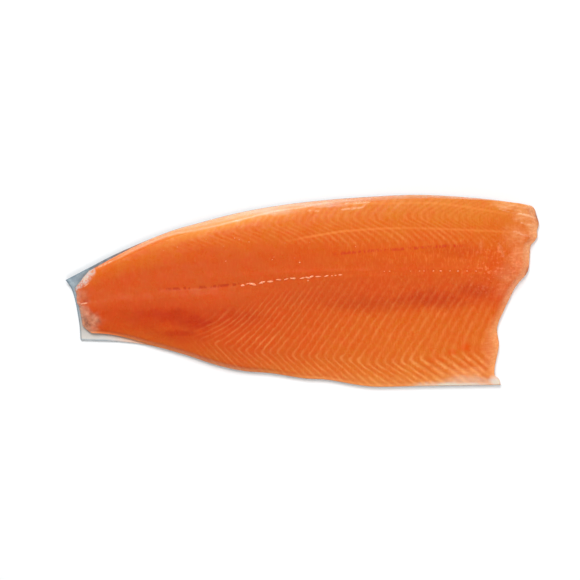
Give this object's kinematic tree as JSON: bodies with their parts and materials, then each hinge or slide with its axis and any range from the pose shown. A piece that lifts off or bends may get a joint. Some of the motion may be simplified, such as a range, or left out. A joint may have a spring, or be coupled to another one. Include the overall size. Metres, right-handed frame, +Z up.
{
  "type": "raw salmon fillet",
  "caption": "Whole side of raw salmon, skin on: orange flesh in chevron flakes over silver skin, broad at the collar cut and tapering to the tail.",
  "frame": {"origin": "on the surface that the side lies on, at the middle of its outline's box", "axes": "+X from the tail to the collar cut, +Y from the belly edge to the back edge, +Z up from the skin to the cut flesh"},
  "size_m": [0.4731, 0.192, 0.0295],
  "materials": {
    "flesh": "moist raw salmon flesh, orange, with pale fat lines in chevrons",
    "skin": "wet fish skin, silver on the belly and dark blue-grey on the back, with small scales"
  },
  "bodies": {
    "root": {"flesh": "flesh", "skin": "skin"}
  },
  "joints": []
}
